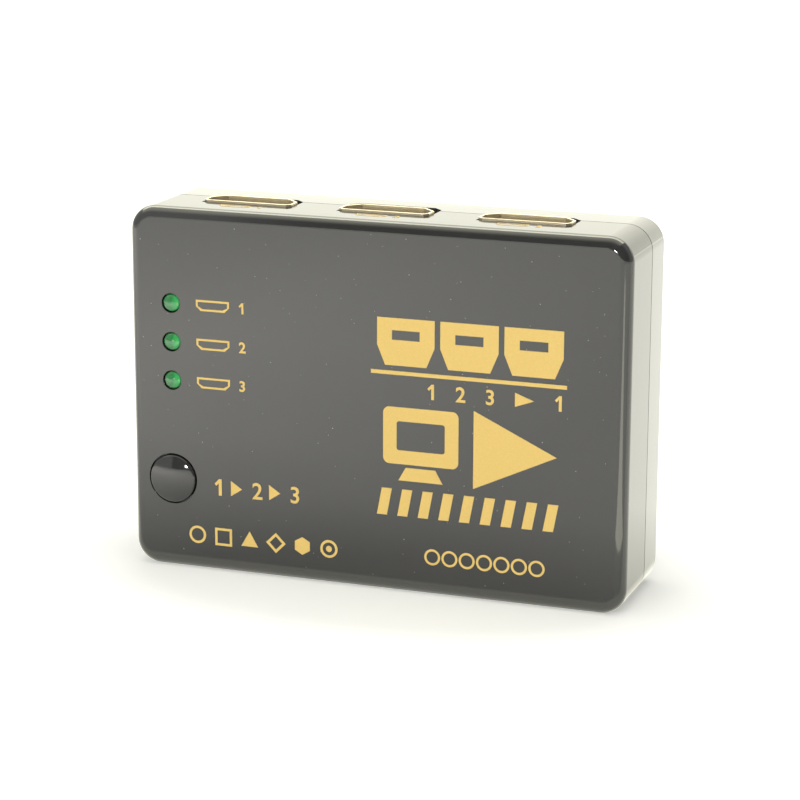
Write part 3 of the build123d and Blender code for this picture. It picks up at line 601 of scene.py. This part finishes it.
def printFace(layout):
    outlines, meshes = [], []
    # Beside each light: a socket and the input's number
    beside = layout["lights"]
    half = beside["height"] / 2
    for number in (1, 2, 3):
        low, high = place(f"light_{number}_lens")
        z = (low.z + high.z) / 2
        for inset in (0.0, beside["line"]):
            outlines.append(socketOutline(beside["left"], beside["left"] + beside["width"],
                                          z - half, z + half, inset))
        meshes.append(numeralMesh(str(number), beside["numeral"], z - half, z + half,
                                  beside["weight"]))
    # Big block: bold sockets side by side
    big = layout["big"]
    width = (big["right"] - big["left"] - (big["count"] - 1) * big["gap"]) / big["count"]
    for number in range(big["count"]):
        left = big["left"] + number * (width + big["gap"])
        outlines.append(socketOutline(left, left + width, big["low"], big["high"]))
        outlines.append(plainRectangle(
            left + big["windowSide"], left + width - big["windowSide"],
            big["high"] - big["windowLow"], big["high"] - big["windowHigh"]))
    rule = layout["rule"]
    outlines.append(plainRectangle(rule["left"], rule["right"],
                                   rule["middle"] - rule["thickness"] / 2,
                                   rule["middle"] + rule["thickness"] / 2))
    # Small line: numbers, an arrow and a number
    small = layout["small"]
    for text, start in small["numerals"]:
        meshes.append(numeralMesh(text, small["left"] + start, small["low"], small["high"],
                                  small["weight"]))
    outlines.append(arrowHead(
        small["left"] + small["arrowStart"], small["left"] + small["arrowEnd"],
        small["low"] + small["arrowInset"], small["high"] - small["arrowInset"]))
    # Screen on its foot, and an arrow
    screen = layout["screen"]
    frameWidth = screen["frame"]
    base = screen["low"] + screen["lift"]
    outlines.append(roundedRectangle(screen["left"], screen["right"], base, screen["high"],
                                      screen["corner"]))
    outlines.append(roundedRectangle(
        screen["left"] + frameWidth, screen["right"] - frameWidth, base + frameWidth,
        screen["high"] - frameWidth, screen["innerCorner"]))
    middle = (screen["left"] + screen["right"]) / 2
    neckTop = base - screen["gap"]
    outlines.append([(middle - screen["foot"], screen["low"]),
                     (middle + screen["foot"], screen["low"]),
                     (middle + screen["neck"], neckTop), (middle - screen["neck"], neckTop)])
    outlines.append(arrowHead(**layout["arrow"]))
    # Row of leaning blocks
    blocks = layout["blocks"]
    pitch = (blocks["right"] - blocks["left"]) / blocks["count"]
    for number in range(blocks["count"]):
        left = blocks["left"] + number * pitch
        right = left + pitch - blocks["gap"]
        outlines.append([(left, blocks["low"]), (right, blocks["low"]),
                         (right + blocks["lean"], blocks["high"]),
                         (left + blocks["lean"], blocks["high"])])
    # Row of rings
    dots = layout["dots"]
    radius = (dots["high"] - dots["low"]) / 2
    pitch = (dots["right"] - dots["left"] - 2 * radius) / (dots["count"] - 1)
    z = (dots["low"] + dots["high"]) / 2
    for number in range(dots["count"]):
        x = dots["left"] + radius + number * pitch
        outlines += [circle(x, z, radius), circle(x, z, radius - dots["line"])]
    # By the button: numbers joined by arrows
    row = layout["button"]
    gaps = row["count"] - 1
    step = (row["right"] - row["left"] - row["numeralWidth"]) / (2 * gaps)
    for number in range(row["count"]):
        meshes.append(numeralMesh(str(number + 1), row["left"] + 2 * number * step,
                                  row["low"], row["high"] - row["numeralDrop"],
                                  row["weight"]))
    for number in range(gaps):
        left = row["left"] + (2 * number + 1) * step - row["arrowBack"]
        outlines.append(arrowHead(left, left + row["arrowWidth"], row["low"] + row["arrowLift"],
                                  row["high"] - row["arrowDrop"]))
    # Row of plain shapes
    marks = layout["marks"]
    half = marks["height"] / 2
    inner = half - marks["line"]
    corner = half * marks["pointed"]
    pitch = (marks["right"] - marks["left"]) / (marks["count"] - 1)
    xs = [marks["left"] + number * pitch for number in range(marks["count"])]
    z = marks["middle"]
    outlines += [circle(xs[0], z, half), circle(xs[0], z, inner)]
    outlines += [plainRectangle(xs[1] - reach, xs[1] + reach, z - reach, z + reach)
                 for reach in (half, inner)]
    outlines.append(polygon(xs[2], z - marks["triangleDrop"], corner, 3))
    outlines += [polygon(xs[3], z, corner, 4),
                 polygon(xs[3], z, corner - marks["diamondLine"], 4)]
    outlines.append(polygon(xs[4], z, half, 6))
    outlines += [circle(xs[5], z, half), circle(xs[5], z, inner),
                 circle(xs[5], z, marks["dot"])]
    meshes.append(inkMesh(outlines))
    # Stand the flat print up against the front face
    upright = Matrix.Rotation(pi / 2, 4, "X")
    move = Matrix.Translation((0, (frontY - inkDepth / 2) * mm, 0)) @ upright
    link("facePrint", joinMeshes("facePrint", meshes, move), goldInk, "case")


printFace(gold)


# Print on the top, before each input: places from the front face and the input's middle

topGold = {"back": 4.1, "height": 1.5, "left": 3.6, "right": 1.4, "line": 0.3,
           "numeral": 2.6, "weight": 0.05}


def printTop(layout):
    meshes = []
    near = frontY + layout["back"]
    far = near + layout["height"]
    for number in (1, 2, 3):
        low, high = place(f"input_port_{number}_shell")
        middle = (low.x + high.x) / 2
        meshes.append(numeralMesh(str(number), middle + layout["numeral"], near, far,
                                  layout["weight"]))
        meshes.append(inkMesh([
            socketOutline(middle - layout["left"], middle + layout["right"], near, far, inset)
            for inset in (0.0, layout["line"])
        ]))
    move = Matrix.Translation((0, 0, (caseHigh.z + inkDepth / 2) * mm))
    link("topPrint", joinMeshes("topPrint", meshes, move), goldInk, "case")


printTop(topGold)
print("print laid on")


# Screws in the back: pan heads with cross recesses, set out by nodes

screw = {"headRadius": 1.8, "headHeight": 1.3, "edge": 0.5, "edgeSteps": 6, "steps": 48,
         "shank": 1.0, "length": 10.4, "pointWidth": 0.5, "pointLength": 0.7,
         "crossSpan": 2.2, "crossSlot": 0.45, "crossDepth": 0.8}


def screwMesh(settings):
    # One screw about the Y axis, its seat at the origin
    shank, head, edge = settings["shank"], settings["headRadius"], settings["edge"]
    tip, top = -settings["length"], settings["headHeight"]
    profile = [(0, tip), (shank - settings["pointWidth"], tip),
               (shank, tip + settings["pointLength"]), (shank, 0), (head, 0),
               (head, top - edge)]
    profile += arcPoints((head - edge, top - edge), edge, 0, 90, settings["edgeSteps"])[1:]
    profile.append((0, top))
    body = turned("screwBlank", profile, (0, 0), steel, "case", settings["steps"])
    cutter = bmesh.new()
    for width, height in ((settings["crossSpan"], settings["crossSlot"]),
                          (settings["crossSlot"], settings["crossSpan"])):
        size = Matrix.Diagonal((width * mm, 2 * settings["crossDepth"] * mm, height * mm, 1))
        lift = Matrix.Translation((0, top * mm, 0))
        bmesh.ops.create_cube(cutter, size=1.0, matrix=lift @ size)
    crossMesh = bpy.data.meshes.new("crossCutter")
    cutter.to_mesh(crossMesh)
    cutter.free()
    cross = bpy.data.objects.new("crossCutter", crossMesh)
    scene.collection.objects.link(cross)
    cut = body.modifiers.new("cross", "BOOLEAN")
    cut.operation = "DIFFERENCE"
    cut.object = cross
    cut.solver = "EXACT"
    cut.use_self = True
    mesh = settle(body)
    bpy.data.objects.remove(cross)
    bpy.data.objects.remove(body)
    smooth(mesh, angle=35)
    return mesh


def startTree(name, inputs):
    # A tree with named inputs, which gives one mesh
    tree = bpy.data.node_groups.new(name, "GeometryNodeTree")
    for label, kind in inputs.items():
        tree.interface.new_socket(label, in_out="INPUT", socket_type=f"NodeSocket{kind}")
    tree.interface.new_socket("Mesh", in_out="OUTPUT", socket_type="NodeSocketGeometry")
    return tree, addNode(tree, "NodeGroupInput").outputs


def finishTree(tree, copies, material):
    # Makes the copies real and gives them their finish
    real = addNode(tree, "GeometryNodeRealizeInstances", None, {"Geometry": copies})
    painted = addNode(tree, "GeometryNodeSetMaterial", None,
                      {"Geometry": real.outputs["Geometry"], "Material": material})
    addNode(tree, "NodeGroupOutput", None, {"Mesh": painted.outputs["Geometry"]})


def setOutTree(name):
    # Puts one object's mesh on every point
    tree, given = startTree(name, {"Points": "Geometry", "Piece": "Object", "Scale": "Float",
                                   "Material": "Material"})
    info = addNode(tree, "GeometryNodeObjectInfo", None, {"Object": given["Piece"]})
    spread = addNode(tree, "GeometryNodeInstanceOnPoints", None,
                     {"Points": given["Points"], "Instance": info.outputs["Geometry"],
                      "Scale": given["Scale"]})
    finishTree(tree, spread.outputs["Instances"], given["Material"])
    return tree


def feed(modifier, values):
    for name, value in values.items():
        identifier = modifier.node_group.interface.items_tree[name].identifier
        modifier[identifier] = value


def makeScrews(settings):
    low, high = place("case_screws")
    head = settings["headRadius"]
    seatY = high.y - settings["headHeight"]
    seats = [(low.x + head, seatY, low.z + head), (high.x - head, seatY, high.z - head)]
    blank = bpy.data.objects.new("oneScrew", screwMesh(settings))
    scene.collection.objects.link(blank)
    points = bpy.data.meshes.new("screwSeats")
    points.from_pydata([Vector(seat) * mm for seat in seats], [], [])
    piece = bpy.data.objects.new("caseScrews", points)
    scene.collection.objects.link(piece)
    modifier = piece.modifiers.new("setOut", "NODES")
    modifier.node_group = setOutTree("screwsOnSeats")
    feed(modifier, {"Piece": blank, "Scale": 1.0, "Material": steel})
    settle(piece)
    bpy.data.objects.remove(blank)
    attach(piece, "case")
    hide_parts("case_screws")


makeScrews(screw)
print("screws set out")


# Dust on the front and the top

dust = {
    "seed": 7, "size": 0.05,
    "least": (0.4, 0.4, 0.25), "most": (1.7, 1.2, 0.5),  # times the size, lying flat
    "beds": (("front", 4.5), ("top", 4.0)),  # count per square centimetre
    "inset": 2.0, "topDepth": 4.5,
}


def dustTree(settings):
    # Strews specks over a face, each stretched and turned by chance
    tree, given = startTree("dustOnFaces", {"Bed": "Geometry", "Density": "Float",
                                            "Speck": "Float", "Seed": "Int",
                                            "Material": "Material"})
    specks = addNode(tree, "GeometryNodeDistributePointsOnFaces", None,
                     {"Mesh": given["Bed"], "Density": given["Density"],
                      "Seed": given["Seed"]})
    grain = addNode(tree, "GeometryNodeMeshIcoSphere", None,
                    {"Radius": given["Speck"], "Subdivisions": 1})
    size = addNode(tree, "FunctionNodeRandomValue", {"data_type": "FLOAT_VECTOR"},
                   {0: settings["least"], 1: settings["most"], "Seed": given["Seed"]})
    spread = addNode(tree, "GeometryNodeInstanceOnPoints", None,
                     {"Points": specks.outputs["Points"], "Instance": grain.outputs["Mesh"],
                      "Rotation": specks.outputs["Rotation"], "Scale": size.outputs["Value"]})
    finishTree(tree, spread.outputs["Instances"], given["Material"])
    return tree


def makeDustPieces(settings):
    tree = dustTree(settings)
    inset = settings["inset"]
    squareCentimetres = 1e4  # in a square metre
    left, right = caseLow.x + inset, caseHigh.x - inset
    low, high = caseLow.z + inset, caseHigh.z - inset
    near = frontY + inset
    far = near + settings["topDepth"]
    corners = {
        "front": [(left, frontY, low), (right, frontY, low), (right, frontY, high),
                  (left, frontY, high)],
        "top": [(left, near, caseHigh.z), (right, near, caseHigh.z),
                (right, far, caseHigh.z), (left, far, caseHigh.z)],
    }
    for number, (bed, perSquare) in enumerate(settings["beds"]):
        mesh = bpy.data.meshes.new(f"{bed}DustBed")
        mesh.from_pydata([Vector(corner) * mm for corner in corners[bed]], [], [(0, 1, 2, 3)])
        piece = bpy.data.objects.new(f"{bed}Dust", mesh)
        scene.collection.objects.link(piece)
        modifier = piece.modifiers.new("dust", "NODES")
        modifier.node_group = tree
        feed(modifier, {"Density": perSquare * squareCentimetres,
                        "Speck": settings["size"] * mm, "Seed": settings["seed"] + number,
                        "Material": dustMaterial})
        settle(piece)
        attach(piece, "case")


makeDustPieces(dust)
print("dust laid")


# Finishes of the CAD nodes that stay, by the end of their name or else a word in it

finishes = {
    "contacts": contactGold, "insulator": connectorBlack, "leads": tinned, "_chip": chipEpoxy,
    "regulator": chipEpoxy, "jack_body": connectorBlack, "jack_pin": tinned,
    "jack_spring": tinned, "jack_collar": tinned, "capacitor_cans": aluminium,
    "capacitor_feet": connectorBlack, "ceramic": ceramic, "resistors": chipEpoxy,
    "crystal": aluminium, "circuit_board": laminate, "switch_base": connectorBlack,
    "switch_cover": tinned, "switch_plunger": connectorBlack, "switch_dome": tinned,
    "switch_terminals": tinned,
}

for name, node in nodes.items():
    chosen = next((look for word, look in finishes.items() if name.endswith(word)), None)
    chosen = chosen or next((look for word, look in finishes.items() if word in name), glossAbs)
    node.data.materials.clear()
    node.data.materials.append(chosen)


# Floor, world and lamps

floorLook = {
    "size": 6.0, "tone": "#e2e2dc", "fibre": "#e8e8e2", "cloud": 25.0,  # cloud in mm
    # The glow grows between these distances from the middle, with X taken times ends. Painted
    # shade: the floor glows less near the box, so it is darker round the box's foot and in the
    # box's reflections of it, along with its real shadow, and white farther off.
    "near": 0.026, "far": 0.058, "ends": 0.6,
    "paintedShadeGlow": 0.36, "farGlow": 1.0, "glow": "#fffff8",
}
room = {
    "dark": 0.02, "wall": 1.0,  # front of the room, right and left of the camera
    "wallStart": -0.36, "wallEnd": -0.41,  # X of the direction, where the wall begins
    "whiteStart": -0.3, "whiteEnd": 0.1,  # Y of the direction, where the white begins
    "plain": 0.35,  # level for the colours
}
glowTint = (1.0, 0.985, 0.77)
frontTint = (1.0, 0.965, 0.87)


def chain(tree, operation, values):
    # Joins sockets or numbers by one kind of sum, from left to right
    result = values[0]
    for value in values[1:]:
        result = addNode(tree, "ShaderNodeMath", {"operation": operation},
                         {0: result, 1: value}).outputs[0]
    return result


def ramp(tree, value, start, end, first=0.0, last=1.0, kind="LINEAR"):
    return addNode(tree, "ShaderNodeMapRange", {"interpolation_type": kind},
                   {"Value": value, "From Min": start, "From Max": end, "To Min": first,
                    "To Max": last}).outputs["Result"]


def makeFloor(settings):
    half = settings["size"] / 2
    mesh = bpy.data.meshes.new("studioFloor")
    mesh.from_pydata([(-half, -half, 0), (half, -half, 0), (half, half, 0), (-half, half, 0)],
                     [], [(0, 1, 2, 3)])
    floor = bpy.data.objects.new("studioFloor", mesh)
    scene.collection.objects.link(floor)
    material, tree, shader, point = startMaterial("paperSweep")
    tree.nodes.remove(shader)
    fibre = addNode(tree, "ShaderNodeTexNoise", None,
                    {"Vector": point, "Scale": perMetre(settings["cloud"])})
    tone = addNode(tree, "ShaderNodeMix", {"data_type": "RGBA"},
                   {"Factor": fibre.outputs["Fac"], 6: toLinear(settings["tone"]),
                    7: toLinear(settings["fibre"])})
    paper = addNode(tree, "ShaderNodeBsdfDiffuse", None, {"Color": tone.outputs[2]})
    oval = addNode(tree, "ShaderNodeMapping", None,
                   {"Vector": point, "Scale": (settings["ends"], 1.0, 1.0)})
    reach = addNode(tree, "ShaderNodeVectorMath", {"operation": "LENGTH"},
                    {0: oval.outputs["Vector"]})
    ray = addNode(tree, "ShaderNodeLightPath")
    seen = chain(tree, "MAXIMUM", [ray.outputs["Is Camera Ray"], ray.outputs["Is Glossy Ray"],
                                   ray.outputs["Is Transmission Ray"]])
    # Painted shade: the glow is dimmer near the middle, under the box, and rises to full white
    # farther out
    glowWithPaintedShade = ramp(tree, reach.outputs["Value"], settings["near"], settings["far"],
                     settings["paintedShadeGlow"], settings["farGlow"])
    glow = addNode(tree, "ShaderNodeEmission", None,
                   {"Color": toLinear(settings["glow"]),
                    "Strength": chain(tree, "MULTIPLY", [seen, glowWithPaintedShade])})
    both = addNode(tree, "ShaderNodeAddShader", None,
                   {0: paper.outputs["BSDF"], 1: glow.outputs["Emission"]})
    output = next(node for node in tree.nodes if node.type == "OUTPUT_MATERIAL")
    tree.links.new(both.outputs["Shader"], output.inputs["Surface"])
    mesh.materials.append(material)


def makeWorld(settings):
    world = bpy.data.worlds.new("studioWorld")
    scene.world = world
    world.use_nodes = True
    tree = world.node_tree
    tree.nodes.clear()
    ray = addNode(tree, "ShaderNodeLightPath")
    direction = addNode(tree, "ShaderNodeTexCoord").outputs["Generated"]
    parts = addNode(tree, "ShaderNodeSeparateXYZ", None, {"Vector": direction})
    # A dark room in front with a pale wall on its left, and white behind the box
    front = ramp(tree, parts.outputs["X"], settings["wallEnd"], settings["wallStart"],
                 settings["wall"], settings["dark"], "SMOOTHSTEP")
    behind = ramp(tree, parts.outputs["Y"], settings["whiteStart"], settings["whiteEnd"],
                  kind="SMOOTHSTEP")
    roomLevel = addNode(tree, "ShaderNodeMix", {"data_type": "FLOAT"},
                        {"Factor": behind, 2: front, 3: 1.0})
    white = chain(tree, "MAXIMUM", [ray.outputs["Is Camera Ray"],
                                    ray.outputs["Is Transmission Ray"]])
    level = addNode(tree, "ShaderNodeMix", {"data_type": "FLOAT"},
                    {"Factor": white, 2: roomLevel.outputs[0], 3: 1.0})
    softened = addNode(tree, "ShaderNodeMix", {"data_type": "FLOAT"},
                       {"Factor": ray.outputs["Is Diffuse Ray"], 2: level.outputs[0],
                        3: settings["plain"]})
    glow = addNode(tree, "ShaderNodeBackground", None, {"Strength": softened.outputs[0]})
    addNode(tree, "ShaderNodeOutputWorld", None, {"Surface": glow.outputs["Background"]})


def makeLamp(name, low, high, radiance, facing, tint=(1, 1, 1), fades=(), diffuse=False,
             glossy=True, turn=0.0):
    # A flat lamp that fills the box from low to high, thin along one axis, and shines to
    # the side that facing names. Its power gives the radiance. A fade is an axis, where it
    # starts and ends, and the levels there. It is seen only as a reflection, unless diffuse.
    low, high = Vector(low), Vector(high)
    size = high - low
    turns = {"up": (pi, 0, 0), "down": (0, 0, 0), "front": (-pi / 2, 0, 0),
             "back": (pi / 2, 0, 0)}
    data = bpy.data.lights.new(name, "AREA")
    data.shape = "RECTANGLE"
    data.size, data.size_y = size.x, size.y or size.z
    data.energy = radiance * pi * data.size * data.size_y
    data.color = tint
    lamp = bpy.data.objects.new(name, data)
    lamp.location = (low + high) / 2
    lamp.rotation_euler = turns[facing]
    lamp.rotation_euler.z = radians(turn)
    lamp.visible_camera = False
    lamp.visible_diffuse = diffuse
    lamp.visible_glossy = glossy
    scene.collection.objects.link(lamp)
    if fades:
        data.use_nodes = True
        tree = data.node_tree
        tree.nodes.clear()
        spot = addNode(tree, "ShaderNodeNewGeometry").outputs["Position"]
        parts = addNode(tree, "ShaderNodeSeparateXYZ", None, {"Vector": spot})
        levels = [ramp(tree, parts.outputs[axis], start, end, first, last)
                  for axis, start, end, first, last in fades]
        glow = addNode(tree, "ShaderNodeEmission", None,
                       {"Strength": chain(tree, "MULTIPLY", levels)})
        addNode(tree, "ShaderNodeOutputLight", None, {"Surface": glow.outputs["Emission"]})


makeFloor(floorLook)
makeWorld(room)

# What the gloss reflects: the bright table in front of the box, dimmer near it and far off,
# beside it and behind it, then the white behind and the ceiling
table, strip = 0.0004, 0.0006  # heights, just over the floor
divide = -0.0147  # Y where the table in front gives way to the one behind, before the box
makeLamp("tableFront", (-0.5, -0.40, table), (0.5, divide, table), 1.0, "up", frontTint, (
    ("X", -0.095, 0.0, 1.6, 0.42),
    ("Y", divide, -0.085, 0.0, 1.0),
    ("Y", -0.165, -0.40, 1.0, 0.0),
))
makeLamp("tableStrip", (0.0133, -0.1483, strip), (0.2333, -0.0983, strip), 3.0, "up",
         glowTint, turn=-54)
makeLamp("tableBehind", (-0.9, divide, table), (0.9, 0.9, table), 0.74, "up", glowTint)
makeLamp("backSoftbox", (-1.3, 0.9, 0.0), (1.1, 0.9, 0.62), 1.0, "front", glowTint, (
    ("Z", 0.24, 0.48, 1.35, 2.0),
))
makeLamp("ceilingBehind", (-1.4, 0.33, 1.0), (0.6, 1.5, 1.0), 1.0, "down", glowTint, (
    ("Y", 0.35, 1.0, 10.5, 2.0),
))
makeLamp("ceilingFront", (-1.4, -1.1, 1.0), (0.6, 0.33, 1.0), 1.0, "down", glowTint, (
    ("Y", -0.72, -0.2, 0.0, 1.9),
))
# A far bulb, which shows as a white point on each dome and corner
makeLamp("bulb", (-0.10, -1.5, 0.11), (0.01, -1.5, 0.22), 90.0, "back")
# Plain light for the colours, from above and from the camera's side
makeLamp("overheadSoftbox", (-0.5, -0.4, 1.1), (0.5, 0.6, 1.1), 1.7, "down", diffuse=True,
         glossy=False)
makeLamp("frontFill", (-0.5, -1.0, 0.1), (0.5, -1.0, 0.9), 3.7, "back", diffuse=True,
         glossy=False)

scene.view_settings.view_transform = "Standard"
print("studio lit")
